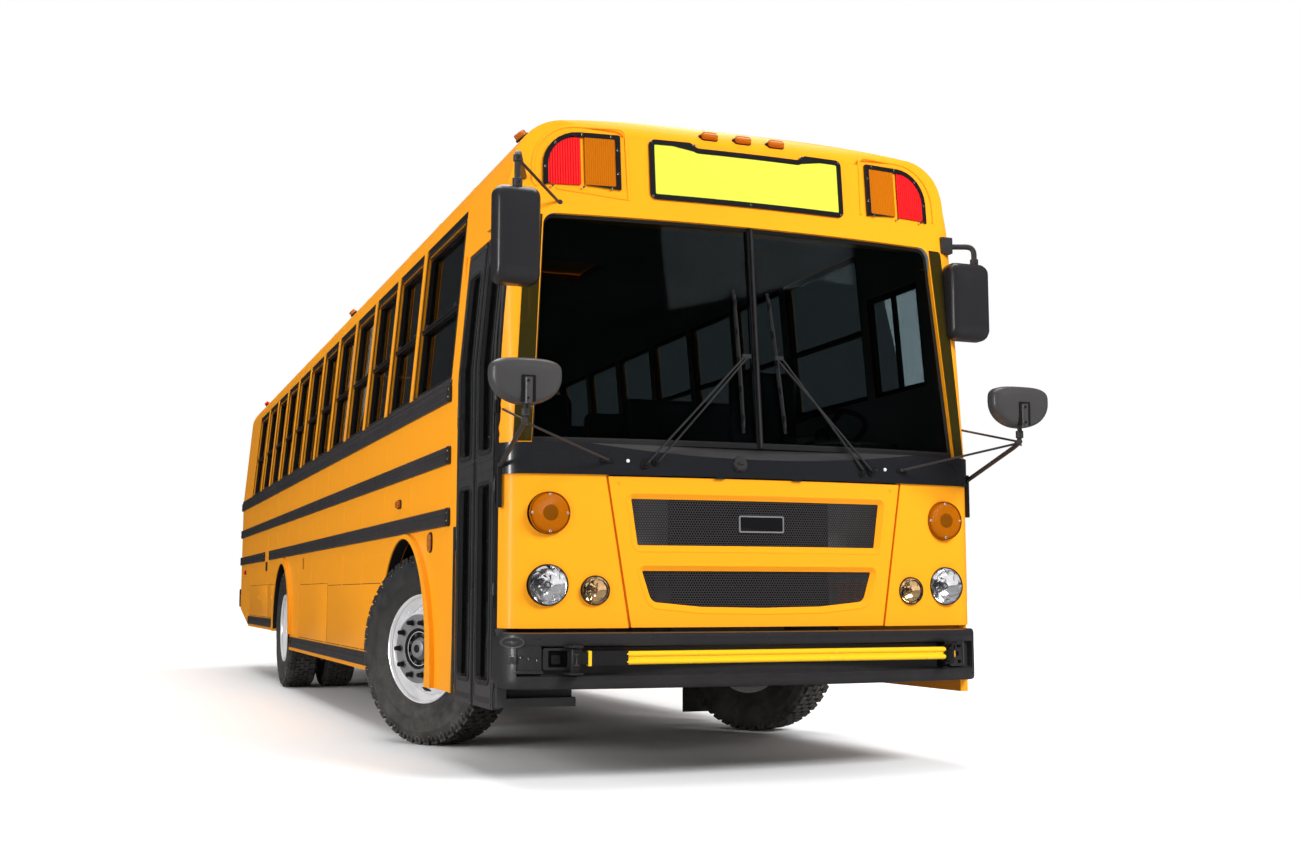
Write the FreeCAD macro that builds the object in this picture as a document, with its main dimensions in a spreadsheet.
# School bus with a flat front, built as an assembly of separate named pieces.
# Millimetres. The front faces -Y, the driver's side is +X, Z is up and the ground is Z = 0.
# Stations along the bus are measured back from the front panel's corners and placed by at().
import FreeCAD, Part
import math
import os
import Sketcher

V = FreeCAD.Vector
doc = FreeCAD.newDocument("SchoolBus")
sheet = doc.addObject("Spreadsheet::Sheet", "Sizes")

# name, value
SIZES = (
    # whole bus
    ("origin_station", 5640),
    ("half_width", 1219),
    ("skirt_bottom", 353),
    ("rear_skirt_bottom", 490),
    ("belt_height", 1900),
    ("eave_half_width", 1143),
    ("eave_height", 2783),
    ("crown_height", 3090),
    ("roof_shoulder", 240),
    ("wall_thick", 50),
    ("roof_thick", 45),
    ("rear_station", 11550),
    ("floor_top", 1000),
    ("floor_thick", 50),
    # front end
    ("front_station", -75),
    ("bow_radius", 6800),
    ("corner_radius", 180),
    ("front_lean", 110),
    ("front_lean_height", 1180),
    ("panel_thick", 40),
    ("panel_bottom", 681),
    ("panel_top", 1360),
    ("cowl_top", 1500),
    ("cowl_proud", 10),
    ("cap_split", 134),
    ("cap_back", 330),
    ("door_head", 2510),
    ("glass_thick", 8),
    ("glass_setback", 34),
    ("screen_half_bottom", 1085),
    ("screen_half_top", 1015),
    ("screen_corner", 60),
    ("screen_bottom", 1502),
    ("screen_top", 2570),
    ("panel_gap", 6),
    ("hatch_half_top", 742),
    ("hatch_half_bottom", 634),
    ("hatch_thick", 10),
    ("hatch_side_gap", 11.2),
    # bumpers
    ("bumper_bottom", 418),
    ("bumper_top", 664),
    ("bumper_reach", 50),
    ("bumper_end", 80),
    ("recess_bottom", 480),
    ("recess_top", 602),
    # entrance door
    ("door_front", 134),
    ("door_rear", 858),
    ("door_bottom", 325),
    ("leaf_thick", 40),
    ("leaf_gap", 36),
    ("hinge_gap", 14),
    ("hinge_radius", 6),
    # windows
    ("window_first", 976),
    ("window_second", 1968),
    ("window_pitch", 771),
    ("window_end", 10540),
    ("window_post", 70),
    ("window_sill", 1915),
    ("window_head", 2740),
    ("window_set_in", 16),
    ("driver_window_front", 400),
    ("driver_window_rear", 940),
    ("driver_window_head", 2470),
    ("sash_thick", 22),
    ("sash_bar_height", 2300),
    ("pane_thick", 6),
    # running gear
    ("front_axle_station", 2130),
    ("rear_axle_station", 7640),
    ("axle_height", 530),
    ("tyre_radius", 530),
    ("tyre_width", 268),
    ("rim_radius", 288),
    ("front_track_half", 1054),
    ("dual_outer", 1080),
    ("dual_inner", 740),
    ("kingpin_half", 860),
    ("kingpin_radius", 20),
    ("spindle_radius", 45),
    ("running_gap", 0.5),
    ("arm_length", 200),
    ("steer_rest", 28),
    ("front_arch_station", 2068),
    ("front_arch_height", 500),
    ("front_arch_radius", 643),
    ("rear_arch_station", 7635),
    ("rear_arch_height", 545),
    ("rear_arch_radius", 570),
    ("front_flare_radius", 736),
    ("rear_flare_radius", 662),
    ("flare_proud", 24),
    ("rail_half", 430),
    ("rail_bottom", 640),
    ("rail_top", 860),
    ("tow_eye_radius", 25),
    ("tow_eye_thick", 30),
    # seats
    ("seat_pitch", 771),
    ("seat_first", 1750),
    ("aisle_half", 160),
)


class Size:
    """A number together with the sheet formula that drives it."""

    def __init__(self, value, text):
        self.value = float(value)
        self.text = text

    def __add__(self, other):
        other = size(other)
        return Size(self.value + other.value, "(%s + %s)" % (self.text, other.text))

    def __radd__(self, other):
        return size(other) + self

    def __sub__(self, other):
        other = size(other)
        return Size(self.value - other.value, "(%s - %s)" % (self.text, other.text))

    def __rsub__(self, other):
        return size(other) - self

    def __mul__(self, other):
        other = size(other)
        return Size(self.value * other.value, "(%s * %s)" % (self.text, other.text))

    def __rmul__(self, other):
        return size(other) * self

    def __truediv__(self, other):
        other = size(other)
        return Size(self.value / other.value, "(%s / %s)" % (self.text, other.text))

    def __neg__(self):
        return size(0) - self


def size(value):
    if isinstance(value, Size):
        return value
    return Size(value, "%.6f" % value)


def root(value):
    return Size(math.sqrt(value.value), "sqrt(%s)" % value.text)


def cosine(angle):
    return Size(math.cos(math.radians(angle.value)), "cos(%s)" % angle.text)


def sine(angle):
    return Size(math.sin(math.radians(angle.value)), "sin(%s)" % angle.text)


class Names:
    pass


S = Names()
for row, (alias, value) in enumerate(SIZES, start=1):
    sheet.set("A%d" % row, alias)
    sheet.set("B%d" % row, str(value))
    sheet.setAlias("B%d" % row, alias)
    setattr(S, alias, Size(value, "Sizes." + alias))
doc.recompute()

nodes = {}


def at(station):
    """Y of a station measured back from the front."""
    return size(station) - S.origin_station


def bind(thing, prop, value):
    thing.setExpression(prop, size(value).text)


def place(thing, x, y, z):
    bind(thing, "Placement.Base.x", x)
    bind(thing, "Placement.Base.y", y)
    bind(thing, "Placement.Base.z", z)
    return thing


def box(name, x, y, z):
    """Block between pairs of limits; y holds stations."""
    thing = doc.addObject("Part::Box", name)
    bind(thing, "Length", size(x[1]) - x[0])
    bind(thing, "Width", size(y[1]) - y[0])
    bind(thing, "Height", size(z[1]) - z[0])
    return place(thing, x[0], at(y[0]), z[0])


TURN = {
    "X": FreeCAD.Rotation(V(0, 1, 0), 90),
    "Y": FreeCAD.Rotation(V(1, 0, 0), -90),
    "Z": FreeCAD.Rotation(),
}


def rod(name, axis, radius, start, length):
    """Round bar from start along +axis; start holds x, station, z."""
    thing = doc.addObject("Part::Cylinder", name)
    thing.Placement = FreeCAD.Placement(V(), TURN[axis])
    bind(thing, "Radius", radius)
    bind(thing, "Height", length)
    return place(thing, start[0], at(start[1]), start[2])


PLANES = {
    "XY": FreeCAD.Rotation(),
    "XZ": FreeCAD.Rotation(V(1, 0, 0), 90),
    "YZ": FreeCAD.Rotation(V(1, 1, 1), 120),
}
NORMALS = {"XY": V(0, 0, 1), "XZ": V(0, 1, 0), "YZ": V(1, 0, 0)}


def outline(sketch, points):
    """Closed outline of lines and arcs: rows of x, y, radius of the arc to the next point."""
    count = len(points)
    rows = [(size(p[0]), size(p[1]), p[2] if len(p) > 2 else None) for p in points]
    ends = []
    for i, (x, y, radius) in enumerate(rows):
        a = V(x.value, y.value, 0)
        b = V(rows[(i + 1) % count][0].value, rows[(i + 1) % count][1].value, 0)
        if radius is None:
            sketch.addGeometry(Part.LineSegment(a, b))
            ends.append((1, 2))
            continue
        r = size(radius).value
        half = (b - a) * 0.5
        rise = math.sqrt(max(r * r - half.Length ** 2, 0.0))
        side = V(-half.y, half.x, 0).normalize() * (rise if r > 0 else -rise)
        centre = a + half + side
        first = math.atan2(a.y - centre.y, a.x - centre.x)
        last = math.atan2(b.y - centre.y, b.x - centre.x)
        if r < 0:
            first, last = last, first
        arc = Part.ArcOfCircle(Part.Circle(centre, V(0, 0, 1), abs(r)), first, last)
        sketch.addGeometry(arc)
        ends.append((1, 2) if r > 0 else (2, 1))
    for i in range(count):
        j = (i + 1) % count
        sketch.addConstraint(Sketcher.Constraint("Coincident", i, ends[i][1], j, ends[j][0]))
    for i, (x, y, radius) in enumerate(rows):
        for kind, value in (("DistanceX", x), ("DistanceY", y)):
            k = sketch.addConstraint(
                Sketcher.Constraint(kind, -1, 1, i, ends[i][0], value.value))
            sketch.setExpression("Constraints[%d]" % k, value.text)
        if radius is not None:
            r = size(radius)
            r = r if r.value > 0 else -r
            k = sketch.addConstraint(Sketcher.Constraint("Radius", i, r.value))
            sketch.setExpression("Constraints[%d]" % k, r.text)
    return sketch


def prism(name, plane, points, start, length, slant=None):
    """Outline in a plane pushed along the plane's positive normal, or along a slant."""
    sketch = doc.addObject("Sketcher::SketchObject", name + "_outline")
    sketch.Placement = FreeCAD.Placement(V(), PLANES[plane])
    letter = {"XY": "z", "XZ": "y", "YZ": "x"}[plane]
    bind(sketch, "Placement.Base." + letter, start)
    outline(sketch, points)
    solid = doc.addObject("Part::Extrusion", name)
    solid.Base = sketch
    solid.DirMode = "Custom"
    solid.Solid = True
    solid.Dir = NORMALS[plane]
    if slant is None:
        bind(solid, "LengthFwd", length)
    else:
        solid.LengthFwd = 0
        bind(solid, "Dir.y", slant)
        bind(solid, "Dir.z", length)
    sketch.Visibility = False
    return solid


def cut(name, base, *tools):
    tool = tools[0] if len(tools) == 1 else fuse(name + "_tools", *tools)
    thing = doc.addObject("Part::Cut", name)
    thing.Base = base
    thing.Tool = tool
    return thing


def cut_each(name, base, *tools):
    """Cuts taken one after the other."""
    for i, tool in enumerate(tools):
        last = i == len(tools) - 1
        base = cut(name if last else "%s_step_%d" % (name, i), base, tool)
    return base


def fuse(name, *shapes):
    thing = doc.addObject("Part::MultiFuse", name)
    thing.Shapes = list(shapes)
    return thing


def common(name, *shapes):
    thing = doc.addObject("Part::MultiCommon", name)
    thing.Shapes = list(shapes)
    return thing


def mirrored(name, base):
    thing = doc.addObject("Part::Mirroring", name)
    thing.Source = base
    thing.Normal = V(1, 0, 0)
    thing.Base = V(0, 0, 0)
    return thing


def group(name, *shapes):
    """Several separate solids of one piece."""
    thing = doc.addObject("Part::Compound", name)
    thing.Links = list(shapes)
    return thing


def turned(name, base, angle, x, y):
    """Base turned about the upright line through x, y."""
    thing = group(name, base)
    thing.Placement = FreeCAD.Placement(V(), FreeCAD.Rotation(V(0, 0, 1), angle.value))
    bind(thing, "Placement.Rotation.Angle", angle)
    c, s = cosine(angle), sine(angle)
    bind(thing, "Placement.Base.x", x - (x * c - y * s))
    bind(thing, "Placement.Base.y", y - (x * s + y * c))
    return thing


def body_sketch(body, name, role, points):
    sketch = body.newObject("Sketcher::SketchObject", name)
    plane = [f for f in body.Origin.OriginFeatures if f.Role == role][0]
    sketch.AttachmentSupport = [(plane, "")]
    sketch.MapMode = "FlatFace"
    doc.recompute()
    outline(sketch, points)
    return sketch


def spun(name, profile, centre):
    """Body of revolution about an axle along X: profile rows of along-axle, radius."""
    body = doc.addObject("PartDesign::Body", name)
    sketch = body_sketch(body, name + "_profile", "XY_Plane", profile)
    turn = body.newObject("PartDesign::Revolution", name + "_turn")
    turn.Profile = sketch
    turn.ReferenceAxis = (sketch, ["H_Axis"])
    turn.Angle = 360
    body.Tip = turn
    return place(body, centre[0], at(centre[1]), centre[2])


def sorted2(p, q):
    p, q = size(p), size(q)
    return (p, q) if p.value < q.value else (q, p)


def keep(name, thing):
    nodes[name] = thing
    return thing


# ---- shared outlines -------------------------------------------------------------------

def plan(inset, back):
    """Plan of the front end: a bowed front, round corners and straight sides."""
    half = S.half_width - inset
    bow = S.bow_radius - inset
    corner = S.corner_radius - inset
    centre_y = at(S.front_station) + S.bow_radius
    side = half - corner
    drop = root((bow - corner) * (bow - corner) - side * side)
    corner_y = centre_y - drop
    reach = bow / (bow - corner)
    tx = side * reach
    ty = centre_y - drop * reach
    return [
        (-half, back),
        (-half, corner_y, corner),
        (-tx, ty, bow),
        (tx, ty, corner),
        (half, corner_y),
        (half, back),
    ]


def front_prism(name, inset, back, bottom, top):
    """The front end's plan raised between two heights, upright, as far back as asked."""
    whole = prism(name + "_whole", "XY", plan(inset, at(900)), bottom, size(top) - bottom)
    return common(name, whole, box(name + "_limit", (-1400, 1400), (-400, back), (size(bottom) - 1, size(top) + 1)))


def leaning_prism(name, inset, back, bottom, top):
    """The front end's plan raised with the windscreen's lean."""
    height = size(top) - bottom
    lean = S.front_lean / S.front_lean_height
    lift = size(bottom) - S.cowl_top
    points = plan(inset, at(1200))
    moved = [(p[0], size(p[1]) + lift * lean) + tuple(p[2:]) for p in points]
    whole = prism(name + "_whole", "XY", moved, bottom, height, slant=height * lean)
    return common(name, whole, box(name + "_limit", (-1400, 1400), (-400, back), (size(bottom) - 1, size(top) + 1)))


def envelope(name):
    """Everything inside the rounded front corners, as far back as the first window."""
    low = front_prism(name + "_low", size(0), 900, 300, S.cowl_top)
    high = leaning_prism(name + "_high", size(0), 900, S.cowl_top, 3000)
    behind = box(name + "_behind", (-1400, 1400), (900, 12000), (300, 3000))
    return fuse(name, low, high, behind)


def hinge(name, axis, start, length, radius, plates):
    """Barrel halves of one hinge with their plates: the fixed half first, then the moving one."""
    halves = []
    half = size(length) / 2
    step = {"X": (1, 0, 0), "Z": (0, 0, 1)}[axis]
    for i, plate in enumerate(plates):
        shift = (half + 0.3) * i
        begin = [size(start[k]) + shift * step[k] for k in range(3)]
        barrel = rod("%s_barrel_%d" % (name, i), axis, radius, begin, half - 0.3 * i)
        flap = box("%s_flap_%d" % (name, i), *plate)
        halves.append(fuse("%s_half_%d" % (name, i), barrel, flap))
    return halves


def crown(inset):
    """Half-width, shoulder radius and crown radius of the roof's section."""
    half = S.eave_half_width - inset
    shoulder = S.roof_shoulder - inset
    rise = S.crown_height - inset - S.eave_height
    a = half - shoulder
    big = (rise * rise + a * a - shoulder * shoulder) / (size(2) * (rise - shoulder))
    return half, shoulder, big


def roof_section(inset, bottom_half, bottom):
    """Transverse outline of body and roof over a level line."""
    half, shoulder, big = crown(inset)
    reach = big / (big - shoulder)
    a = half - shoulder
    drop = root((big - shoulder) * (big - shoulder) - a * a)
    centre = S.crown_height - inset - big
    tx = a * reach
    tz = centre + drop * reach
    points = [(-bottom_half, bottom), (bottom_half, bottom)]
    if bottom.value < S.belt_height.value - 1:
        points.append((bottom_half, S.belt_height))
    points += [(half, S.eave_height, shoulder), (tx, tz, big), (-tx, tz, shoulder), (-half, S.eave_height)]
    if bottom.value < S.belt_height.value - 1:
        points.append((-bottom_half, S.belt_height))
    return points


def body_section(name, inset, bottom, start, end):
    half = S.half_width - inset
    points = roof_section(inset, half, size(bottom))
    return prism(name, "XZ", points, at(start), size(end) - start)


def side_wall_section(outset, thick):
    """Upright skirt and leaning window band of one side wall, on +X."""
    outer = S.half_width + outset
    top = S.eave_half_width + outset
    inner = outer - thick
    return [
        (inner, S.skirt_bottom),
        (outer, S.skirt_bottom),
        (outer, S.belt_height),
        (top, S.eave_height),
        (top - thick, S.eave_height),
        (inner, S.belt_height),
    ]


# x, height, radius and place along the bus of the round front lamps
FRONT_LAMPS = (("turn", 1006, 1187, 94.7, -20), ("head", 1009, 870, 91.7, -16), ("fog", 798, 847, 65.7, -40))
# x, height and radius of the round rear lamps
REAR_LAMPS = ((1020, 1380, 88), (1020, 1150, 88), (780, 1150, 60))


# ---- body shell ------------------------------------------------------------------------

def window_stations():
    """Start and end of each side window, front to rear."""
    rows = [(S.window_first + S.window_post / 2, S.window_second - S.window_post / 2)]
    for i in range(10):
        start = S.window_second + S.window_pitch * i
        rows.append((start + S.window_post / 2, start + S.window_pitch - S.window_post / 2))
    last = S.window_second + S.window_pitch * 10
    rows.append((last + S.window_post / 2, S.window_end))
    return rows


def arch_cutters(name):
    front = rod(name + "_front", "X", S.front_arch_radius,
                (-1300, S.front_arch_station, S.front_arch_height), size(2600))
    rear = rod(name + "_rear", "X", S.rear_arch_radius,
               (-1300, S.rear_arch_station, S.rear_arch_height), size(2600))
    return front, rear


def rear_departure(name):
    """Wedge taken off under the rear overhang."""
    return prism(name, "YZ", [
        (at(S.rear_axle_station), S.skirt_bottom - 50),
        (at(12000), S.skirt_bottom - 50),
        (at(12000), size(760)),
        (at(10600), S.rear_skirt_bottom),
        (at(S.rear_axle_station), S.rear_skirt_bottom),
    ], size(-1300), size(2600))


fixed_hinges = {"entrance_steps": [], "right_wall": [], "front_panel": [], "front_cap": [], "rear_wall": [], "cowl": [], "roof": []}
moving_hinges = {"entrance_door_front": [], "entrance_door_rear": [], "rear_door": [], "grille_hatch": []}


def make_hinges():
    # entrance leaves: slim barrels in the gap at each leaf's outer edge
    face, r = -S.half_width + 3, S.hinge_radius
    for leaf, edge, sense, rows in (
        ("front", S.door_front, 1, ((350, "entrance_steps"), (770, "front_panel"), (1235, "front_panel"), (1640, "front_cap"))),
        ("rear", S.door_rear, -1, ((400, "right_wall"), (1040, "right_wall"), (1640, "right_wall"))),
    ):
        axis_y = edge + S.hinge_gap * (0.5 * sense)
        for i, (z, owner) in enumerate(rows):
            xs = (face + 2, face + 10)
            inner = sorted2(edge - 12 * sense, axis_y)
            outer = sorted2(axis_y, edge + (S.hinge_gap + 12) * sense)
            plates = ((xs, inner, (z, size(z) + 55)), (xs, outer, (size(z) + 55.6, size(z) + 110)))
            name = "%s_leaf_hinge_%d" % (leaf, i)
            fixed, moving = hinge(name, "Z", (face, axis_y, z), 110, r, plates)
            fixed_hinges[owner].append(fixed)
            moving_hinges["entrance_door_" + leaf].append(moving)
    # rear door, hinged at the bus's right
    y = S.rear_station
    for i, z in enumerate((1150, 1700, 2250)):
        plates = (((-522, -487), (y - 10, y + 14), (z, z + 45)),
                  ((-487, -452), (y - 10, y + 14), (z + 45.6, z + 90)))
        fixed, moving = hinge("rear_door_hinge_%d" % i, "Z", (-487, y + 10, z), 90, 9, plates)
        fixed_hinges["rear_wall"].append(fixed)
        moving_hinges["rear_door"].append(moving)
    # grille panel, hung from under the cowl's lip
    y = S.front_station - 6
    z = S.panel_top - 6
    for i, x in enumerate((-240, 150)):
        plates = (((x, x + 45), (y - 3, y + 3), (z, z + 10)),
                  ((x + 45.6, x + 90), (y, y + 20), (z - 4, z)))
        fixed, moving = hinge("grille_hinge_%d" % i, "X", (x, y, z), 90, 4, plates)
        fixed_hinges["cowl"].append(fixed)
        moving_hinges["grille_hatch"].append(moving)


def flares(side, sign):
    """Raised lips round both wheel arches of one wall, broader low down than over the wheel."""
    w, out = S.half_width, S.flare_proud
    start = w - 5 if sign > 0 else -w - out
    top = size(1166)
    lips = []
    for name, y, r, low in (("front", S.front_arch_station - 33, S.front_flare_radius, S.skirt_bottom),
                            ("rear", S.rear_arch_station - 10, S.rear_flare_radius, S.rear_skirt_bottom)):
        n = "%s_%s_flare" % (side, name)
        disc = rod(n + "_disc", "X", r, (start, y, top - r), out + 5)
        lips.append(common(n, disc, box(n + "_limit", (-1400, 1400), (y - 900, y + 900), (low, 1500))))
    return lips


def make_walls():
    for side, sign in (("left", 1), ("right", -1)):
        wall = prism(side + "_wall_slab", "XZ", side_wall_section(size(0), S.wall_thick),
                     at(S.cap_split), S.rear_station - S.wall_thick - S.cap_split)
        if sign < 0:
            wall = mirrored(side + "_wall_slab_m", wall)
        wall = common(side + "_wall_curved", wall, envelope(side + "_envelope"))
        wall = fuse(side + "_wall_flared", wall, *flares(side, sign))
        tools = list(arch_cutters(side + "_arch"))
        tools.append(rear_departure(side + "_departure"))
        tools.append(box(side + "_header_notch", (-1300, 1300), (S.cap_split - 10, S.cap_back),
                         (S.door_head, 2900)))
        x = (900, 1300) if sign > 0 else (-1300, -900)
        for i, (start, end) in enumerate(window_stations()):
            tools.append(box("%s_window_%02d" % (side, i + 1), x, (start, end),
                             (S.window_sill, S.window_head)))
        if sign < 0:
            tools.append(box("door_opening", x, (S.cap_split - 10, S.door_rear),
                             (S.skirt_bottom - 60, S.door_head + 1)))
            wall = cut(side + "_wall_cut", wall, *tools)
            keep("right_wall", fuse("right_wall", wall, *fixed_hinges["right_wall"]))
        else:
            tools.append(box("driver_window_opening", x, (S.driver_window_front, S.driver_window_rear),
                             (S.window_sill, S.driver_window_head)))
            keep("left_wall", cut("left_wall", wall, *tools))


HATCHES = (("front", 3000), ("rear", 8400))


def make_roof():
    outer = body_section("roof_outer", size(0), size(1850), S.cap_back, S.rear_station - S.wall_thick)
    inner = body_section("roof_inner", S.roof_thick, size(1800), S.cap_back - 10, S.rear_station)
    below = box("roof_below", (-1300, 1300), (S.cap_back - 20, S.rear_station + 20), (1700, S.eave_height))
    shell = cut("roof_shell", outer, inner, below)
    rings, holes, hinges = [], [], []
    top = S.crown_height
    for name, station in HATCHES:
        rings.append(box("hatch_ring_" + name, (-330, 330), (station - 30, station + 630), (top - 40, top + 6)))
        rings.append(box("hatch_foot_" + name, (-260, 260), (station - 75, station - 20), (top - 40, top + 6)))
        holes.append(box("hatch_hole_" + name, (-300, 300), (station, station + 600), (top - 100, top + 20)))
        lid = box("hatch_lid_" + name, (-345, 345), (station - 40, station + 645), (top + 13, top + 46))
        moving = [lid]
        y, z = station - 60, top + 18
        for i, x in enumerate((-240, 150)):
            plates = (((x, x + 45), (y - 8, y + 8), (top - 40, z)),
                      ((x + 45.6, x + 90), (y, y + 30), (z, z + 8)))
            fixed, half = hinge("%s_hatch_hinge_%d" % (name, i), "X", (x, y, z), 90, 8, plates)
            hinges.append(fixed)
            moving.append(half)
        keep(name + "_roof_hatch", fuse(name + "_roof_hatch", *moving))
    keep("roof", fuse("roof", cut("roof_holed", fuse("roof_ringed", shell, *rings), *holes), *hinges))


def brow_prism(name, inset):
    """Side outline that rounds the top front edge."""
    return prism(name, "YZ", [
        (at(-310), S.cowl_top - 150),
        (at(S.cap_back + 35), S.cowl_top - 150),
        (at(S.cap_back + 35), size(3260)),
        (at(250 + inset), size(3260)),
        (at(250 + inset), S.crown_height + 3 - inset, 160),
        (at(105 + inset), size(2962 - inset)),
        (at(-310), size(2890 - inset)),
    ], size(-1300), size(2600))


def screen_outline(inset, bottom):
    """Windscreen opening seen from ahead, round at its top corners."""
    low, top, high = S.screen_half_bottom - inset, S.screen_half_top - inset, S.screen_top - inset
    r = S.screen_corner
    return [
        (-low, bottom), (low, bottom), (top, high - r, r), (top - r, high),
        (-(top - r), high, r), (-top, high - r),
    ]


def cap_solids(name, grow):
    """Solid head over the windscreen and solid block between the posts, grown by a skin if asked."""
    inset = size(-grow)
    high = body_section(name + "_section_high", inset, S.door_head, -200, S.cap_back)
    section = body_section(name + "_section", inset, S.cowl_top, -200, S.cap_split)
    lean = leaning_prism(name + "_plan", inset, S.cap_back + 5, S.cowl_top, 3200)
    head = common(name + "_head", high, lean, brow_prism(name + "_brow", -grow))
    limit = box(name + "_posts_limit", (-1300, 1300), (-300, S.cap_split), (S.cowl_top - 5, S.door_head))
    return head, common(name + "_posts", section, lean, limit)


def make_front_cap():
    head, posts = cap_solids("cap", 0)
    cavity = box("cap_cavity", (-(S.eave_half_width - 60), S.eave_half_width - 60), (220, S.cap_back + 20),
                 (S.door_head - 10, 2960))
    in_lean = leaning_prism("cap_in_plan", S.wall_thick, S.cap_split + 15, S.cowl_top - 100, S.door_head + 20)
    in_section = body_section("cap_in_section", S.wall_thick, S.cowl_top - 100, -200, S.cap_split + 10)
    inner = common("cap_inner", in_section, in_lean)
    screen = prism("screen_opening", "XZ", screen_outline(0, S.screen_bottom - 10), at(-300), size(530))
    shell = fuse("cap_shell", cut("cap_head_hollow", head, cavity, screen), cut_each("cap_post_hollow", posts, inner, screen))
    keep("front_cap", fuse("front_cap", shell, *fixed_hinges["front_cap"]))
    # glass panes either side of the centre bar, held in the opening
    front = leaning_prism("glass_front", S.glass_setback, 210, S.cowl_top, 2700)
    back = leaning_prism("glass_back", S.glass_setback + S.glass_thick, 220, S.cowl_top - 1, 2701)
    shell = cut("glass_shell", front, back)
    whole = prism("pane_outline", "XZ", screen_outline(1, S.screen_bottom + 1), at(-300), size(510))
    panes = []
    for name, sign in (("right", -1), ("left", 1)):
        side = box(name + "_pane_side", sorted2(16 * sign, 1300 * sign), (-300, 230), (1400, 2700))
        pane = common(name + "_pane_shape", whole, side)
        panes.append(common(name + "_pane", shell, pane))
    keep("windshield", group("windshield", *panes))
    bar_front = leaning_prism("bar_front", S.glass_setback - 14, S.cap_split - 30, S.cowl_top, 2700)
    bar_back = leaning_prism("bar_back", S.glass_setback + 26, S.cap_split - 20, S.cowl_top - 1, 2701)
    common("windshield_bar", cut("bar_shell", bar_front, bar_back),
           box("bar_limit", (-15.7, 15.7), (-300, 98), (S.screen_bottom + 0.3, S.screen_top - 0.3)))


def make_front_panels():
    outer = front_prism("panel_outer", size(0), S.cap_split, S.panel_bottom, S.panel_top)
    inner = front_prism("panel_inner", S.panel_thick, S.cap_split + 10, S.panel_bottom - 5, S.panel_top + 5)
    shell = cut("panel_shell", outer, inner)

    def trapeze(name, grow, bottom, top):
        return prism(name, "XZ", [
            (-(S.hatch_half_bottom + grow), bottom), (S.hatch_half_bottom + grow, bottom),
            (S.hatch_half_top + grow, top), (-(S.hatch_half_top + grow), top),
        ], at(-300), size(400))

    hole = trapeze("panel_hole", S.hatch_side_gap, S.panel_bottom - 10, S.panel_top + 5)
    lamps = []
    for name, x, z, r, y in FRONT_LAMPS:
        for side in (-1, 1):
            lamps.append(rod("%s_bore_%d" % (name, side + 1), "Y", size(r + 0.3), (side * x, -300, z), size(500)))
    keep("front_panel", fuse("front_panel", cut("front_panel_cut", shell, hole, *lamps),
                               *fixed_hinges["front_panel"]))
    outer2 = front_prism("hatch_outer", size(0), 60, S.panel_bottom, S.panel_top)
    inner2 = front_prism("hatch_inner", S.hatch_thick, 70, S.panel_bottom - 5, S.panel_top + 5)
    shape = trapeze("hatch_shape", size(0), S.panel_bottom + 2, S.panel_top - S.panel_gap)
    upper = prism("upper_grille_hole", "XZ", [
        (-600, 1048), (600, 1048), (630, 1256), (-630, 1256)], at(-300), size(400))
    lower = prism("lower_grille_hole", "XZ", [
        (-533, 790), (533, 790), (580, 934), (-580, 934)], at(-300), size(400))
    panel = cut("hatch_cut", common("hatch_solid", cut("hatch_shell", outer2, inner2), shape), upper, lower)
    keep("grille_hatch", fuse("grille_hatch", panel, *moving_hinges["grille_hatch"]))
    mesh_out = front_prism("mesh_outer", S.hatch_thick + 0.3, 60, 740, 1300)
    mesh_in = front_prism("mesh_inner", S.hatch_thick + 5, 70, 730, 1310)
    limit = prism("mesh_limit", "XZ", [(-560, 750), (560, 750), (665, 1290), (-665, 1290)], at(-300), size(400))
    keep("grille_mesh", common("grille_mesh", cut("mesh_shell", mesh_out, mesh_in), limit))


def make_cowl():
    p = S.cowl_proud
    whole = prism("cowl_whole", "XY", plan(-p, at(900)), S.panel_top, S.cowl_top - S.panel_top)
    outer = common("cowl_outer", whole, box("cowl_limit", (-1400, 1400), (-400, S.cap_split), (1300, 1600)))
    inner = front_prism("cowl_inner", size(90), S.cap_split + 10, S.panel_top - 5, S.cowl_top + 5)
    slope = prism("cowl_slope", "YZ", [
        (at(S.front_station - p - 5), S.cowl_top - 60),
        (at(S.front_station - p - 5), S.cowl_top + 30),
        (at(S.front_station + 60), S.cowl_top + 30),
        (at(S.front_station + 60), S.cowl_top),
        (at(S.front_station + 40), S.cowl_top),
    ], size(-1300), size(2600))
    keep("cowl", fuse("cowl", cut("cowl_cut", outer, inner, slope), *fixed_hinges["cowl"]))


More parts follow.
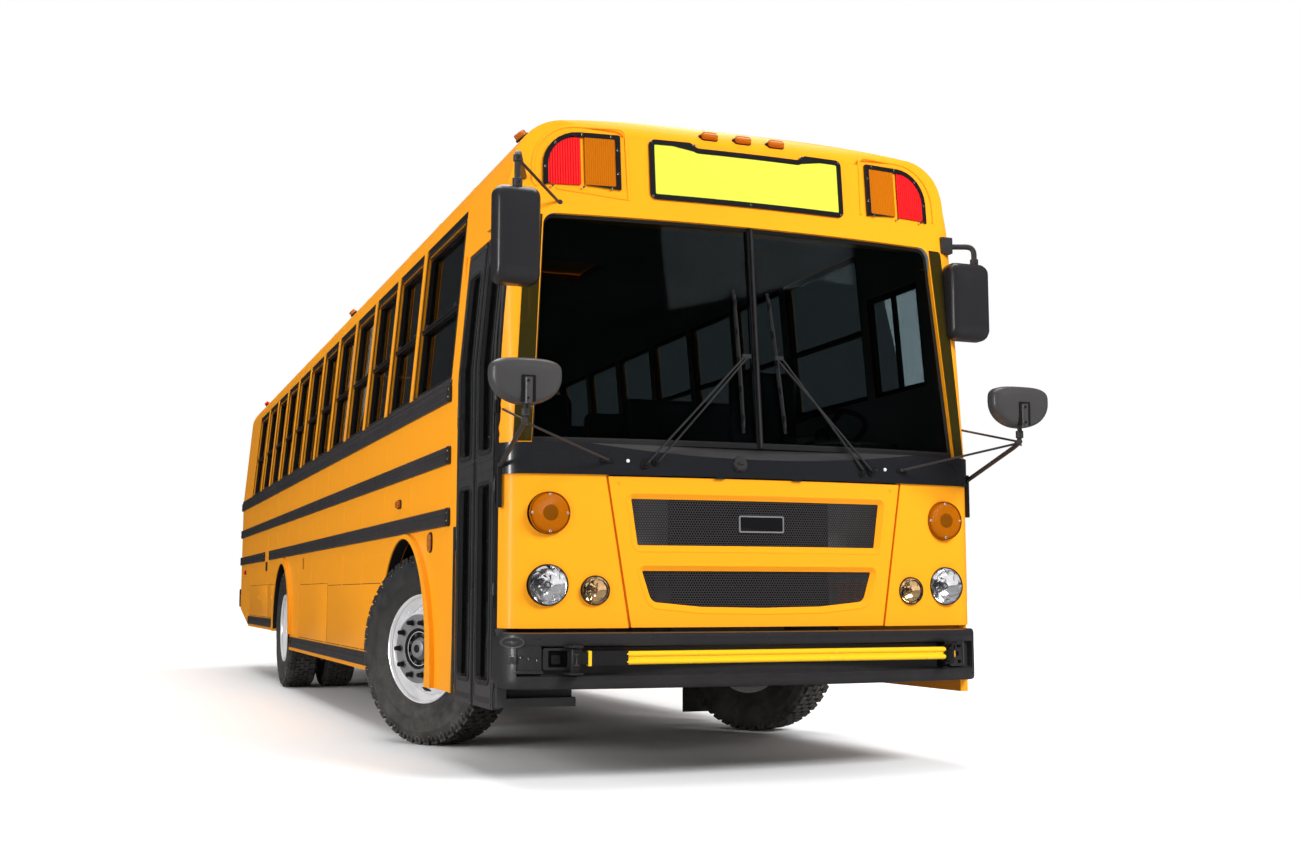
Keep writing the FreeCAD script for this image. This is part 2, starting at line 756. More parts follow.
def make_rear():
    t = S.wall_thick
    solid = body_section("rear_solid", size(0), S.rear_skirt_bottom, S.rear_station - t, S.rear_station)
    door = box("rear_door_opening", (-490, 490), (S.rear_station - 200, S.rear_station + 100), (1010, 2500))
    windows = []
    for i, side in enumerate((-1, 1)):
        x = (-1010, -560) if side < 0 else (560, 1010)
        windows.append(box("rear_window_%d" % i, x, (S.rear_station - 200, S.rear_station + 100), (1950, 2480)))
    wall = cut("rear_wall_cut", solid, door, rear_departure("rear_wall_departure"), *windows)
    keep("rear_wall", fuse("rear_wall", wall, *fixed_hinges["rear_wall"]))
    leaf = box("rear_door_slab", (-484, 484), (S.rear_station - t, S.rear_station), (1016, 2494))
    panes = [box("rear_door_pane_%d" % i, (-390, 390), (S.rear_station - 200, S.rear_station + 100), z)
             for i, z in enumerate(((1180, 1640), (1900, 2400)))]
    keep("rear_door", fuse("rear_door", cut("rear_door_cut", leaf, *panes), *moving_hinges["rear_door"]))
    glass = box("rear_door_glass_slab", (-480, 480), (S.rear_station - 28, S.rear_station - 22), (1020, 2490))
    keep("rear_door_glass", common("rear_door_glass", glass, group("rear_door_panes", *panes)))
    bumper = box("rear_bumper_bar", (-1219, 1219), (S.rear_station + 40, S.rear_station + 190), (690, 900))
    stays = [box("rear_bumper_stay_%d" % i, x, (S.rear_station, S.rear_station + 60), (690, 860))
             for i, x in enumerate(((-480, -380), (380, 480)))]
    # tow eyes hang from the stays, under the bumper, and take a cross pin
    eyes = [box("tow_eye_%d" % side, (side * S.rail_half - S.tow_eye_thick / 2, side * S.rail_half + S.tow_eye_thick / 2),
                (S.rear_station + 10, S.rear_station + 140), (560, 700)) for side in (-1, 1)]
    pin_way = rod("tow_pin_way", "X", S.tow_eye_radius, (-600, S.rear_station + 90, 615), size(1200))
    keep("rear_bumper", cut("rear_bumper", fuse("rear_bumper_whole", bumper, *(stays + eyes)), pin_way))


# first and last station and inner side of each pair of wheel housings
HOUSINGS = (
    ("front", S.front_axle_station - 725, S.front_axle_station + 660, 500),
    ("rear", S.rear_axle_station - 605, S.rear_axle_station + 605, 560),
)


def make_floor():
    t = S.wall_thick + 1
    low = S.floor_top - S.floor_thick
    slab = box("floor_slab", (-S.half_width + t, S.half_width - t), (S.cap_split + 10, S.rear_station - t),
               (low, S.floor_top))
    covers, holes = [], []
    for name, first, last, x0 in HOUSINGS:
        for side in (-1, 1):
            n = "%s_housing_%d" % (name, side + 1)
            outer = box(n + "_outer", sorted2(side * x0, (S.half_width - t) * side), (first - 12, last + 12), (low, 1200))
            inner = box(n + "_inner", sorted2(size(side * (x0 + 12)), size(side * 1300)), (first, last),
                        (low - 10, 1188))
            covers.append(cut(n, outer, inner))
            holes.append(box(n + "_cut", sorted2(size(side * (x0 - 0.3)), size(side * 1300)),
                             (first - 12.3, last + 12.3), (low - 10, S.floor_top + 10)))
    keep("wheel_housings", group("wheel_housings", *covers))
    holes.append(box("step_hole", (-1300, -600), (0, S.door_rear + 0.5), (900, 1100)))
    holes.append(box("engine_hole", (-320, 320), (0, 1480), (900, 1100)))
    keep("floor", cut("floor", slab, *holes))


def make_steps():
    ya, yb = S.door_front + 20, S.door_rear - 0.5
    treads = [box("tread_%d" % i, x, (ya, yb), (z, z + 30))
              for i, (z, x) in enumerate(((346, (-1160, -850)), (575, (-930, -690)), (790, (-740, -600))))]
    risers = [box("riser_%d" % i, (x, x + 25), (ya, yb), z)
              for i, (x, z) in enumerate(((-875, (346, 600)), (-715, (575, 815)), (-625, (790, 1000))))]
    sides = [prism("step_side_%d" % i, "XZ", [
        (-1160, 346), (-850, 346), (-850, 575), (-690, 575), (-690, 790), (-600, 790), (-600, 945), (-1160, 945),
    ], at(y), size(10)) for i, y in enumerate((ya - 10, yb - 10))]
    post = box("door_post", (-S.half_width + 8, -S.half_width + 50), (86, S.door_front), (336, S.panel_bottom - 2))
    sill = box("door_sill", (-S.half_width + 8, -850), (86, S.door_front), (336, 376))
    link = box("door_sill_link", (-1150, -850), (S.door_front - 5, ya), (336, 376))
    keep("entrance_steps", fuse("entrance_steps", post, sill, link, *(treads + risers + sides + fixed_hinges["entrance_steps"])))


# ---- doors, arms and bumpers -----------------------------------------------------------

def make_entrance():
    wall = prism("leaf_slab", "XZ", side_wall_section(size(0), S.leaf_thick), at(S.cap_split),
                 S.door_rear - S.cap_split)
    slab = mirrored("leaf_slab_m", wall)
    extra = box("leaf_low", (-S.half_width, -S.half_width + S.leaf_thick), (S.cap_split, S.door_rear),
                (S.door_bottom, S.skirt_bottom + 20))
    whole = common("leaf_curved", fuse("leaf_whole", slab, extra), envelope("leaf_envelope"))
    gap = S.panel_gap
    middle = (S.door_front + S.door_rear) / 2
    for name, a, b in (("front", S.door_front + S.hinge_gap, middle - S.leaf_gap / 2),
                       ("rear", middle + S.leaf_gap / 2, S.door_rear - S.hinge_gap)):
        limit = box("leaf_limit_" + name, (-1300, -1000), (a, b), (S.door_bottom, S.door_head - gap))
        panes = [box("leaf_pane_%s_%d" % (name, i), (-1300, -1000), (a + 55, b - 55), z)
                 for i, z in enumerate(((440, 1330), (1480, 2380)))]
        leaf = cut("leaf_cut_" + name, common("leaf_block_" + name, whole, limit), *panes)
        sheet_wall = prism("leaf_glass_slab_" + name, "XZ", side_wall_section(size(-17), S.pane_thick),
                           at(a), b - a)
        keep("entrance_glass_" + name, common("entrance_glass_" + name, mirrored("leaf_glass_m_" + name, sheet_wall),
                                              group("leaf_openings_" + name, *panes)))
        keep("entrance_door_" + name, fuse("entrance_door_" + name, leaf,
                                           *moving_hinges["entrance_door_" + name]))


def make_bumper():
    d = S.bumper_reach
    outer = front_prism("bumper_outer", size(0), S.bumper_end + d, S.bumper_bottom, S.bumper_top)
    inner = front_prism("bumper_inner", size(30), 700, S.bumper_bottom - 5, S.bumper_top + 5)
    skin = cut("bumper_shell", outer, inner)
    bind(skin, "Placement.Base.y", -d)
    slot = box("bumper_recess", (-1000, 1000), (-300, 45), (S.recess_bottom, S.recess_top))
    trough = box("bumper_trough", (-1005, 1005), (-52, -34), (S.recess_bottom - 12, S.recess_top + 12))
    brackets = [box("bumper_bracket_%d" % i, x, (-60, 90), (560, 664))
                for i, x in enumerate(((-470, -390), (390, 470)))]
    ears = [box("arm_ear_%d" % i, (-950, -885), (-130, -40), z) for i, z in enumerate(((476, 488), (596, 608)))]
    pin = rod("arm_pin", "Z", size(9), (-915, -102, 480), size(124))
    latch = box("arm_latch", (925, 985), (-95, -40), (515, 590))
    keep("front_bumper", fuse("front_bumper", cut("bumper_skin", skin, slot), trough, pin, latch,
                              *(brackets + ears)))
    arm = box("arm_bar", (-880, 915), (-115, -90), (522, 584))
    hub = rod("arm_hub", "Z", size(22), (-915, -102, 488.5), size(107))
    neck = box("arm_neck", (-915, -870), (-112, -92), (530, 576))
    bore = rod("arm_bore", "Z", size(9.5), (-915, -102, 480), size(130))
    keep("crossing_arm", cut("crossing_arm", fuse("crossing_arm_whole", arm, hub, neck), bore))


def make_stop_arm():
    w = S.half_width
    y = 1345
    base = box("stop_arm_base", (w, w + 44), (1180, 1320), (1600, 1780))
    ears = [box("stop_arm_ear_%d" % i, (w + 20, w + 70), (1310, y + 10), z) for i, z in enumerate(((1600, 1614), (1766, 1780)))]
    pin = rod("stop_arm_pin", "Z", size(6), (w + 58, y, 1605), size(170))
    keep("stop_arm_bracket", fuse("stop_arm_bracket", base, pin, *ears))
    hub = rod("stop_arm_hub", "Z", size(12), (w + 58, y, 1614.5), size(151))
    arm = box("stop_arm_bar", (w + 52, w + 64), (y, y + 160), (1640, 1740))
    r = 228
    k = math.tan(math.pi / 8) * r
    pts = [(k, -r), (r, -k), (r, k), (k, r), (-k, r), (-r, k), (-r, -k), (-k, -r)]
    blade = prism("stop_arm_blade", "YZ", [(at(1720 + p[0]), size(1690 + p[1])) for p in pts],
                  w + 55, size(6))
    bore = rod("stop_arm_bore", "Z", size(6.5), (w + 58, y, 1600), size(190))
    keep("stop_arm", cut("stop_arm", fuse("stop_arm_whole", arm, blade, hub), bore))


# ---- running gear ----------------------------------------------------------------------

def tyre_profile(offset):
    w = S.tyre_width / 2
    r0, r1 = S.rim_radius, S.tyre_radius
    return [
        (offset - w + 30, r0), (offset + w - 30, r0), (offset + w, r0 + 90),
        (offset + w, r1 - 60), (offset + w - 22, r1), (offset - w + 22, r1),
        (offset - w, r1 - 60), (offset - w, r0 + 90),
    ]


def wheel_profile(offset, disc):
    """Rim barrel with its disc at the given place along the axle."""
    w = S.tyre_width / 2 - 20
    r = S.rim_radius
    d = size(disc)
    return [
        (d - 12, size(90)), (d + 12, size(90)), (d + 12, r - 40), (offset + w, r - 30), (offset + w, r),
        (offset - w, r), (offset - w, r - 22), (d - 12, r - 34),
    ]


def make_wheels():
    a, h = S.front_axle_station, S.axle_height
    for side, sign in (("left", 1), ("right", -1)):
        x = S.front_track_half * sign
        tyre = spun("front_%s_tyre_body" % side, tyre_profile(size(0)), (x, a, h))
        rim = spun("front_%s_wheel_body" % side, wheel_profile(size(0), 60), (x, a, h))
        hub = spun("front_%s_hub" % side, [(-40, S.spindle_radius + S.running_gap), (150, S.spindle_radius + S.running_gap),
                                                (150, 95), (75, 95), (75, 120), (-40, 120)], (x, a, h))
        if sign < 0:
            for thing in (tyre, rim, hub):
                thing.Placement = FreeCAD.Placement(V(), FreeCAD.Rotation(V(0, 0, 1), 180))
                place(thing, x, at(a), h)
        kx, ky = S.kingpin_half * sign, at(a)
        keep("front_%s_tyre" % side, turned("front_%s_tyre" % side, tyre, S.steer_rest, kx, ky))
        keep("front_%s_wheel" % side, turned("front_%s_wheel" % side, fuse("front_%s_rim" % side, rim, hub),
                                             S.steer_rest, kx, ky))
    b = S.rear_axle_station
    for side, sign in (("left", 1), ("right", -1)):
        tyres, rims = [], []
        for place_name, x in (("outer", S.dual_outer), ("inner", S.dual_inner)):
            tyre = spun("rear_%s_%s_tyre" % (side, place_name), tyre_profile(size(0)), (x * sign, b, h))
            disc = -60 if place_name == "outer" else 60
            rim = spun("rear_%s_%s_rim" % (side, place_name), wheel_profile(size(0), disc), (x * sign, b, h))
            if sign < 0:
                for thing in (tyre, rim):
                    thing.Placement = FreeCAD.Placement(V(), FreeCAD.Rotation(V(0, 0, 1), 180))
                    place(thing, x * sign, at(b), h)
            tyres.append(tyre)
            rims.append(rim)
        mid = (S.dual_outer + S.dual_inner) / 2
        start = (mid - 112) if sign > 0 else (mid * -1 - 112)
        hub = rod("rear_%s_hub" % side, "X", size(150), (start, b, h), size(224))
        bore = rod("rear_%s_bore" % side, "X", S.spindle_radius + S.running_gap, (start - 300, b, h), size(900))
        keep("rear_%s_tyres" % side, group("rear_%s_tyres" % side, *tyres))
        keep("rear_%s_wheels" % side, cut("rear_%s_wheels" % side, fuse("rear_%s_wheel_pair" % side, hub, *rims), bore))


def make_front_axle():
    a, h, k = S.front_axle_station, S.axle_height, S.kingpin_half
    g = S.running_gap
    beam = box("axle_beam_bar", (-k + 90, k - 90), (a - 45, a + 45), (h - 130, h - 50))
    seats = [box("axle_seat_%d" % i, x, (a - 60, a + 60), (h - 130, h - 20))
             for i, x in enumerate(((-S.rail_half - 45, -S.rail_half + 45), (S.rail_half - 45, S.rail_half + 45)))]
    bosses = [rod("axle_boss_%d" % i, "Z", size(48), (x, a, h - 75), size(150)) for i, x in enumerate((-k, k))]
    necks = [box("axle_neck_%d" % i, x, (a - 40, a + 40), (h - 130, h + 40))
             for i, x in enumerate(((-k + 62, -k + 140), (k - 140, k - 62)))]
    links = [box("axle_link_%d" % i, x, (a - 35, a + 35), (h - 60, h + 40))
             for i, x in enumerate(((-k, -k + 70), (k - 70, k)))]
    bores = [rod("axle_bore_%d" % i, "Z", S.kingpin_radius + g, (x, a, h - 200), size(400)) for i, x in enumerate((-k, k))]
    keep("front_axle", cut("front_axle", fuse("axle_whole", beam, *(bosses + necks + links + seats)), *bores))
    for side, sign in (("left", 1), ("right", -1)):
        p = k * sign
        n = "knuckle_%s_" % side
        cheeks = [rod(n + "cheek_%d" % i, "Z", size(52), (p, a, z), size(40)) for i, z in enumerate((h - 120, h + 80))]
        pin = rod(n + "pin", "Z", S.kingpin_radius, (p, a, h - 118), size(236))
        caps = [box(n + "cap_%d" % i, sorted2(p, p + 85 * sign), (a - 50, a + 50), z)
                for i, z in enumerate(((h - 120, h - 80), (h + 80, h + 120)))]
        web = box(n + "web", sorted2(p + 58 * sign, p + 85 * sign), (a - 50, a + 50), (h - 120, h + 120))
        start = p + 60 if sign > 0 else p - 300
        spindle = rod(n + "spindle", "X", S.spindle_radius, (start, a, h), size(240))
        post = rod(n + "post", "Z", size(30), (p, a, h - 160), size(45))
        arm = box(n + "arm", (p - 22, p + 22), (a, a + S.arm_length + 25), (h - 160, h - 136))
        eye = rod(n + "eye", "Z", size(12.5), (p, a + S.arm_length, h - 170), size(50))
        whole = cut(n + "whole", fuse(n + "solid", arm, web, spindle, pin, post, *(cheeks + caps)), eye)
        keep("%s_knuckle" % side, turned("%s_knuckle" % side, whole, S.steer_rest, p, at(a)))
    # the arms stay parallel, so the tie rod keeps its heading
    c, s = cosine(S.steer_rest), sine(S.steer_rest)
    dy, dx = c * S.arm_length, s * S.arm_length * -1
    bar = rod("tie_bar", "X", size(16), (-k + dx, a + dy, h - 184), k * 2)
    eyes = [rod("tie_eye_%d" % i, "Z", size(26), (x + dx, a + dy, h - 204), size(38)) for i, x in enumerate((-k, k))]
    pins = [rod("tie_pin_%d" % i, "Z", size(12), (x + dx, a + dy, h - 180), size(44)) for i, x in enumerate((-k, k))]
    keep("tie_rod", fuse("tie_rod", bar, *(eyes + pins)))


def make_chassis():
    rails = [box("rail_%d" % i, x, (90, 11495), (S.rail_bottom, S.rail_top))
             for i, x in enumerate(((-S.rail_half - 40, -S.rail_half + 40), (S.rail_half - 40, S.rail_half + 40)))]
    cross = [box("cross_%d" % i, (-S.rail_half, S.rail_half), (y, y + 80), (S.rail_bottom + 30, S.rail_top))
             for i, y in enumerate((1650, 3300, 4900, 6400, 8700, 10100, 11400))]
    under = S.floor_top - S.floor_thick
    bows = [box("bow_%d" % i, (-1160, 1160), (y, y + 60), (S.rail_top, under))
            for i, y in enumerate((3000, 3900, 4800, 5700, 6600, 8600, 9500, 10400, 11300))]
    keep("chassis_frame", fuse("chassis_frame", *(rails + cross + bows)))
    mounts = [box("engine_mount_%d" % i, x, (700, 800), (660, 740))
              for i, x in enumerate(((-S.rail_half + 40, -290), (290, S.rail_half - 40)))]
    keep("engine", fuse("engine", box("engine_block", (-300, 300), (330, 1450), (560, 1180)), *mounts))
    keep("radiator", box("radiator", (-S.rail_half + 40.3, S.rail_half - 40.3), (30, 130), (700, 1290)))
    a, b, h = S.front_axle_station, S.rear_axle_station, S.axle_height
    springs = []
    for i, (y, z0) in enumerate(((a, h - 20), (b, h + 70))):
        for side in (-1, 1):
            springs.append(box("spring_%d_%d" % (i, side + 1), sorted2(S.rail_half * side - 38, S.rail_half * side + 38),
                               (y - 650, y + 650), (z0, S.rail_bottom)))
    keep("springs", group("springs", *springs))
    inner = (S.dual_outer + S.dual_inner) / 2 - 118
    tube = rod("rear_axle_tube", "X", size(70), (-inner, b, h), inner * 2)
    stub = rod("rear_axle_stub", "X", S.spindle_radius, (-inner - 200, b, h), inner * 2 + 400)
    bowl = rod("rear_axle_bowl", "X", size(200), (-130, b, h), size(260))
    shaft = rod("drive_shaft", "Y", size(50), (0, 1450.3, 575), S.rear_axle_station - 1450.3)
    keep("rear_axle", fuse("rear_axle", tube, stub, bowl, shaft))
    keep("fuel_tank", box("fuel_tank", (500, 1120), (3600, 5200), (420, S.rail_top)))
    pipe = rod("exhaust_pipe", "Y", size(45), (-700, 5500, 640), size(900))
    hangers = [box("exhaust_hanger_%d" % i, (-720, -680), (y, y + 30), (720, under)) for i, y in enumerate((4300, 5400))]
    keep("exhaust", fuse("exhaust", rod("exhaust_drum", "Y", size(130), (-700, 4200, 640), size(1320)), pipe, *hangers))


# ---- cabin -----------------------------------------------------------------------------

def bench(name, sign, station):
    """Bench with an aisle-side leg, its other end on the wall."""
    wall = S.half_width - S.wall_thick
    aisle = S.aisle_half
    leg = box(name + "_leg", sorted2((aisle + 60) * sign, (aisle + 100) * sign),
              (station - 400, station - 60), (S.floor_top, S.floor_top + 345))
    cushion = box(name + "_cushion", sorted2(aisle * sign, wall * sign), (station - 470, station - 20),
                  (S.floor_top + 340, S.floor_top + 460))
    back = box(name + "_back", sorted2(aisle * sign, (wall - 22) * sign), (station - 100, station),
               (S.floor_top + 400, S.floor_top + 1050))
    return fuse(name, cushion, back, leg)


def make_cabin():
    rows = [bench("%s_seat_%02d" % (side, i + 1), sign, S.seat_first + 600 + S.seat_pitch * i)
            for side, sign in (("left", 1), ("right", -1)) for i in range(12)]
    keep("passenger_seats", group("passenger_seats", *rows))
    f = S.floor_top
    keep("driver_seat", fuse("driver_seat",
                             box("driver_post", (650, 790), (1180, 1360), (f, f + 300)),
                             box("driver_cushion", (490, 950), (1020, 1470), (f + 300, f + 440)),
                             box("driver_back", (490, 950), (1400, 1510), (f + 400, f + 1150))))
    dash = box("dash_top", (-500, 1080), (140, 430), (1330, 1530))
    bulkhead = box("bulkhead", (-590, 1100), (190, 215), (f, 1340))
    cover = box("engine_cover", (-390, 390), (215, 1480), (f, 1262))
    hollow = box("cover_hollow", (-375, 375), (180, 1465), (f - 10, 1247))
    angle = FreeCAD.Rotation(V(1, 0, 0), -25)
    column = doc.addObject("Part::Cylinder", "steering_column")
    bind(column, "Radius", 30)
    bind(column, "Height", 700)
    column.Placement = FreeCAD.Placement(V(), FreeCAD.Rotation(V(1, 0, 0), 155))
    sy, sz = math.sin(math.radians(25)), math.cos(math.radians(25))
    place(column, 720, at(700 - 20.5 * sy), 1680 - 20.5 * sz)
    keep("dashboard", fuse("dashboard", cut("dash_cut", fuse("dash_solid", dash, bulkhead, cover), hollow), column,
                           box("column_foot", (680, 760), (355, 440), (f, f + 60))))
    ring = doc.addObject("Part::Torus", "steering_ring")
    bind(ring, "Radius1", 225)
    bind(ring, "Radius2", 16)
    ring.Placement = FreeCAD.Placement(V(), angle)
    place(ring, 720, at(700), 1680)
    boss = doc.addObject("Part::Cylinder", "steering_boss")
    bind(boss, "Radius", 55)
    bind(boss, "Height", 36)
    boss.Placement = FreeCAD.Placement(V(), angle)
    place(boss, 720, at(700 - 20 * sy), 1680 - 20 * sz)
    spoke = rod("steering_spoke", "X", size(11), (500, 700, 1680), size(440))
    keep("steering_wheel", fuse("steering_wheel", ring, boss, spoke))


# ---- outside fittings ------------------------------------------------------------------

def make_rails():
    pieces = []
    for side in (-1, 1):
        xs = sorted2(S.half_width * side, (S.half_width + 15) * side)
        for i, (y0, y1, z0, z1) in enumerate((
            (985, 11560, 1796, 1882), (985, 11560, 1481, 1570), (985, 8700, 1170, 1260),
            (9150, 11560, 1170, 1260), (2800, 6950, 381, 467), (8300, 10560, 518, 602),
        )):
            pieces.append(box("rub_rail_%d_%d" % (side + 1, i), xs, (y0, y1), (z0, z1)))
    keep("rub_rails", group("rub_rails", *pieces))


def lean_slab(name, outset, thick, start, end):
    """Sheet lying in one leaning window band, on +X."""
    slope = (S.half_width - S.eave_half_width) / (S.eave_height - S.belt_height)
    rows = []
    for z in (S.window_sill - 20, S.window_head + 20):
        rows.append((S.half_width + outset - (z - S.belt_height) * slope, z))
    return prism(name, "XZ", [rows[0], rows[1], (rows[1][0] - thick, rows[1][1]), (rows[0][0] - thick, rows[0][1])],
                 at(start), size(end) - start)


def make_side_windows():
    frames, glass = [], []
    inset = S.window_set_in
    for side, sign in (("left", 1), ("right", -1)):
        holes, openings, lights = [], [], []
        rows = [(start, end, S.window_head) for start, end in window_stations()]
        x = sorted2(size(900 * sign), size(1300 * sign))
        for i, (start, end, head) in enumerate(rows):
            n = "%s_%02d" % (side, i + 1)
            openings.append(box("sash_open_" + n, x, (start, end), (S.window_sill, head)))
            for k, z in enumerate(((S.window_sill + 28, S.sash_bar_height - 14), (S.sash_bar_height + 14, head - 28))):
                lights.append(box("sash_light_%s_%d" % (n, k), x, (start + 26, end - 26), z))
        if sign > 0:
            y = (S.driver_window_front, S.driver_window_rear)
            middle = (y[0] + y[1]) / 2
            openings.append(box("driver_open", x, y, (S.window_sill, S.driver_window_head)))
            for k, (u, v) in enumerate(((y[0] + 26, middle - 12), (middle + 12, y[1] - 26))):
                lights.append(box("driver_light_%d" % k, x, (u, v), (S.window_sill + 28, S.driver_window_head - 28)))
        for kind, out, thick in (("frame", -inset, S.sash_thick), ("glass", -inset - S.sash_thick, S.pane_thick)):
            slab = lean_slab("%s_%s_slab" % (side, kind), out, thick, 300, S.window_end + 20)
            if sign < 0:
                slab = mirrored("%s_%s_slab_m" % (side, kind), slab)
            shape = common("%s_%s_set" % (side, kind), slab, group("%s_%s_openings" % (side, kind), *openings))
            if kind == "frame":
                frames.append(cut(side + "_sashes", shape, group(side + "_lights", *lights)))
            else:
                glass.append(shape)
    for i, x in enumerate(((-1010, -560), (560, 1010))):
        y = (S.rear_station - 40, S.rear_station - 34)
        glass.append(box("rear_glass_%d" % i, x, y, (1950, 2480)))
        ring = box("rear_sash_%d" % i, x, (S.rear_station - 34, S.rear_station - 14), (1950, 2480))
        frames.append(cut("rear_sash_ring_%d" % i, ring, box("rear_light_%d" % i, (x[0] + 26, x[1] - 26),
                                                             (S.rear_station - 60, S.rear_station), (1976, 2454))))
    keep("window_frames", group("window_frames", doc.getObject("windshield_bar"), *frames))
    keep("window_glass", group("window_glass", *glass))


def skin(name, points, proud):
    """Plate lying on the leaning front, cut to an outline seen from ahead."""
    outer = leaning_prism(name + "_outer", -size(proud), S.cap_back, S.door_head - 60, 3100)
    inner = leaning_prism(name + "_inner", size(-0.3), S.cap_back + 10, S.door_head - 80, 3120)
    shape = prism(name + "_shape", "XZ", points, at(-300), size(500))
    return common(name, cut(name + "_shell", outer, inner), shape)


def make_lamps():
    front, back = [], []
    rear = S.rear_station
    for side in (-1, 1):
        for name, x, z, r, y in FRONT_LAMPS:
            front.append(rod("%s_lamp_%d" % (name, side + 1), "Y", size(r), (side * x, y, z), size(60)))
        for i, (x, z, r) in enumerate(REAR_LAMPS):
            back.append(rod("rear_lamp_%d_%d" % (i, side + 1), "Y", size(r), (side * x, rear, z), size(16)))
    # warning lamps either side of the sign: one plate a side, round at its outer top corner
    for side in (-1, 1):
        rows = [(648, 2690), (1012, 2686), (1012, 2800, 175), (870, 2966), (648, 2966)]
        if side < 0:
            rows = [(-648, 2966), (-870, 2966, 175), (-1012, 2800), (-1012, 2686), (-648, 2690)]
        front.append(skin("warning_%d" % (side + 1), rows, 10))
    for i, x in enumerate((-960, -740, 740, 960)):
        back.append(box("rear_warning_%d" % i, (x - 95, x + 95), (rear, rear + 14), (2660, 2850)))
    cap = cap_solids("cap_skin", 0.3)[0]
    for i, x in enumerate((-177, 0, 177)):
        block = box("marker_block_%d" % i, (x - 45, x + 45), (105, 165), (3003, 3048))
        front.append(cut("marker_%d" % i, block, cap))
        back.append(box("rear_marker_%d" % i, (x - 45, x + 45), (rear, rear + 25), (2930, 2965)))
    keep("front_lamps", group("front_lamps", *front))
    keep("rear_lamps", group("rear_lamps", *back))
    sign = skin("front_sign", [
        (-507, 2668), (507, 2668), (507, 2963), (300, 2963), (262, 2938), (-262, 2938), (-300, 2963), (-507, 2963),
    ], 6)
    keep("sign_panels", group("sign_panels", sign, box("rear_sign", (-480, 480), (rear, rear + 8), (2620, 2860))))


def pipe(name, radius, points, bend):
    """Bent tube through points of x, station and z, with round bends."""
    stops = [V(size(p[0]).value, at(p[1]).value, size(p[2]).value) for p in points]
    edges = []
    last = stops[0]
    for i in range(1, len(stops) - 1):
        u = (stops[i - 1] - stops[i]).normalize()
        w = (stops[i + 1] - stops[i]).normalize()
        angle = u.getAngle(w)
        reach = bend / math.tan(angle / 2)
        a = stops[i] + u * reach
        b = stops[i] + w * reach
        middle = (u + w).normalize()
        centre = stops[i] + middle * (bend / math.sin(angle / 2))
        top = centre - middle * bend
        edges.append(Part.makeLine(last, a))
        edges.append(Part.Arc(a, top, b).toShape())
        last = b
    edges.append(Part.makeLine(last, stops[-1]))
    wire = Part.Wire(edges)
    ring = Part.Wire([Part.makeCircle(radius, stops[0], (stops[1] - stops[0]).normalize())])
    thing = doc.addObject("Part::Feature", name)
    thing.Shape = wire.makePipeShell([ring], True, True)
    return thing


def rounded_body(name, role, points, start, length, edge):
    """Padded outline with its rims rounded, as a body."""
    body = doc.addObject("PartDesign::Body", name)
    sketch = body_sketch(body, name + "_outline", role, points)
    pad = body.newObject("PartDesign::Pad", name + "_pad")
    pad.Profile = sketch
    bind(pad, "Length", length)
    body.Tip = pad
    doc.recompute()
    rims = [("Edge%d" % (i + 1)) for i, e in enumerate(pad.Shape.Edges)
            if abs(e.BoundBox.YLength) < 1e-6]
    fillet = body.newObject("PartDesign::Fillet", name + "_fillet")
    fillet.Base = (pad, rims)
    bind(fillet, "Radius", edge)
    body.Tip = fillet
    return place(body, start[0], at(start[1]), start[2])


def rounded_block(width, height, r):
    """Outline of a block with round corners, about its centre."""
    a, b = width / 2, height / 2
    return [(-a, -b + r, r), (-a + r, -b), (a - r, -b, r), (a, -b + r), (a, b - r, r), (a - r, b),
            (-a + r, b, r), (-a, b - r)]


def rearview_mirrors():
    """Tall housing on a looped arm at each side: x, station, height, width and height of each."""
    mirrors = []
    for side, (x, y, z, w, h) in (("right", (-1235, -250, 2362, 205, 430)), ("left", (1215, 60, 2302, 225, 395))):
        head = rounded_body("mirror_head_" + side, "XZ_Plane", rounded_block(w, h, 45), (x, y + 50, z), 105, 22)
        if side == "right":
            arm = pipe("mirror_arm_right", 14, [(x, y, z + 190), (x, y, 2735), (-1090, 150, 2735)], 60)
            stay = pipe("mirror_stay_right", 7, [(x, y, 2700), (-932, 108, 2622)], 10)
            mirrors.append(fuse("mirror_right", head, arm, stay))
        else:
            arm = pipe("mirror_arm_left", 14, [(x + 45, y, z + 180), (x + 45, y, 2590), (1125, 150, 2600)], 40)
            plate = box("mirror_plate_left", (1085, 1165), (110, 170), (2560, 2640))
            mirrors.append(fuse("mirror_left", head, arm, plate))
    return mirrors


def crossview_mirrors():
    """Bowed mirrors ahead of the corners, each on a post, a strut from the post and one from the cowl."""
    mirrors = []
    rows = [(-150, 70), (-110, -60, 60), (-60, -100), (60, -100, 60), (110, -60), (150, 70), (120, 100), (-120, 100)]
    for i, sign in enumerate((-1, 1)):
        x, foot = 1218 * sign, 1207 * sign
        head = rounded_body("crossview_head_%d" % i, "XZ_Plane", rows, (x, -320, 1722), 75, 18)
        post = rod("crossview_post_%d" % i, "Z", size(9), (foot, 95, 1210), size(200))
        arm = pipe("crossview_arm_%d" % i, 11, [(foot, 95, 1395), (x, -355, 1545), (x, -350, 1640)], 40)
        high = pipe("crossview_high_%d" % i, 6, [(1192 * sign, 105, 1652), (x, -340, 1552)], 10)
        low = pipe("crossview_low_%d" % i, 6, [(749 * sign, -66, 1425), (x, -340, 1545)], 10)
        mirrors.append(fuse("crossview_%d" % i, head, post, arm, high, low))
    return mirrors


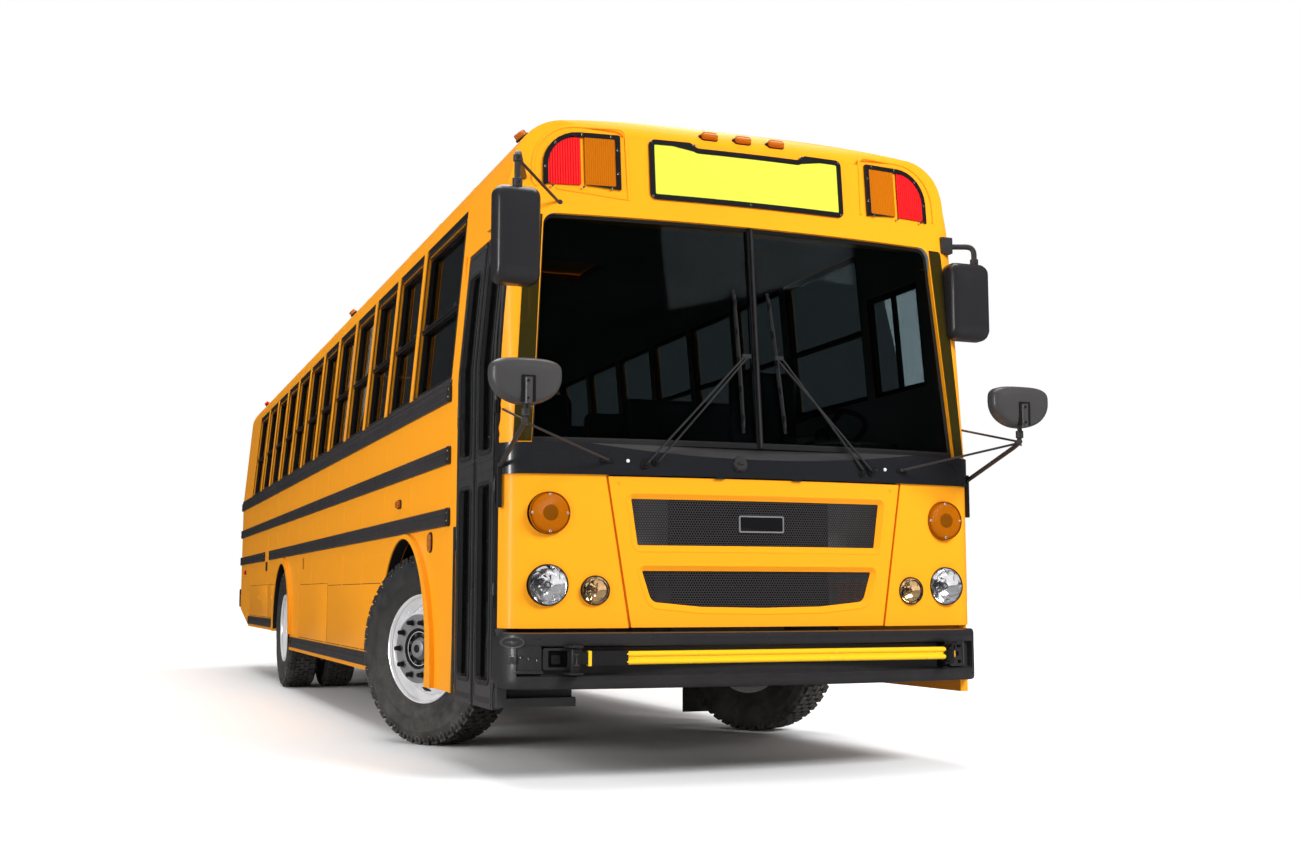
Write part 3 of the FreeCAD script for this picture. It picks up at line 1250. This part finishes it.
def make_mirrors():
    every = group("mirror_set", *(rearview_mirrors() + crossview_mirrors()))
    carriers = [doc.getObject(n) for n in ("cap_skin_head", "cap_skin_posts", "front_panel", "cowl")]
    keep("mirrors", cut_each("mirrors", every, *carriers))


def make_wipers():
    solids = []
    for i, (px, jx, top, bottom) in enumerate(((-575, -58, (-100, 2262), (-80, 1572)), (575, 110, (75, 2255), (135, 1578)))):
        def glass_y(x, z):
            return -75 + 34 + (z - 1500) * 0.0932 + x * x / 13600.0
        boss = rod("wiper_boss_%d" % i, "Y", size(22), (px, -95, 1412), size(60))
        jy = glass_y(jx, 1936) - 30
        arms = [pipe("wiper_arm_%d_%d" % (i, k), 5, [(px + 14 * k, -84, 1412 + 6 * k), (jx + 10 * k, jy, 1936 + 8 * k)], 5)
                for k in (-1, 1)]
        yt, yb = glass_y(top[0], top[1]) - 14, glass_y(bottom[0], bottom[1]) - 14
        blade = pipe("wiper_blade_%d" % i, 7, [(bottom[0], yb, bottom[1]), (top[0], yt, top[1])], 5)
        mx = (top[0] + bottom[0]) / 2
        link = box("wiper_link_%d" % i, (min(mx, jx) - 16, max(mx, jx) + 16), (jy - 6, jy + 22), (1922, 1950))
        solids.append(fuse("wiper_%d" % i, boss, link, blade, *arms))
    keep("wipers", cut("wipers", group("wiper_pair", *solids), group("cowl_copy", doc.getObject("cowl"))))


def make_flaps():
    flaps = []
    for side in (-1, 1):
        flaps.append(box("front_flap_%d" % (side + 1), sorted2(size(765 * side), size(1062 * side)), (2800, 2808), (70, 950)))
        flaps.append(box("rear_flap_%d" % (side + 1), sorted2(size(560 * side), size(1165 * side)), (8310, 8318), (110, 950)))
    keep("mud_flaps", group("mud_flaps", *flaps))


make_hinges()
make_walls()
make_roof()
make_front_cap()
make_front_panels()
make_cowl()
make_rear()
make_floor()
make_steps()
make_entrance()
make_bumper()
make_stop_arm()
make_wheels()
make_front_axle()
make_chassis()
make_cabin()
make_rails()
make_side_windows()
make_lamps()
make_mirrors()
make_wipers()
make_flaps()

doc.recompute()
bad = []
for thing in doc.Objects:
    if any(word in ("Invalid", "Error") for word in thing.State):
        bad.append(thing.Name)
for name, thing in nodes.items():
    if thing.Shape.isNull() or not thing.Shape.isValid() or not thing.Shape.Solids:
        bad.append("shape " + name)
if bad:
    raise SystemExit("not built: " + ", ".join(bad))
os.makedirs("parts", exist_ok=True)
for name, thing in nodes.items():
    thing.Shape.exportStep("parts/%s.step" % name)
print(len(nodes), "pieces written")
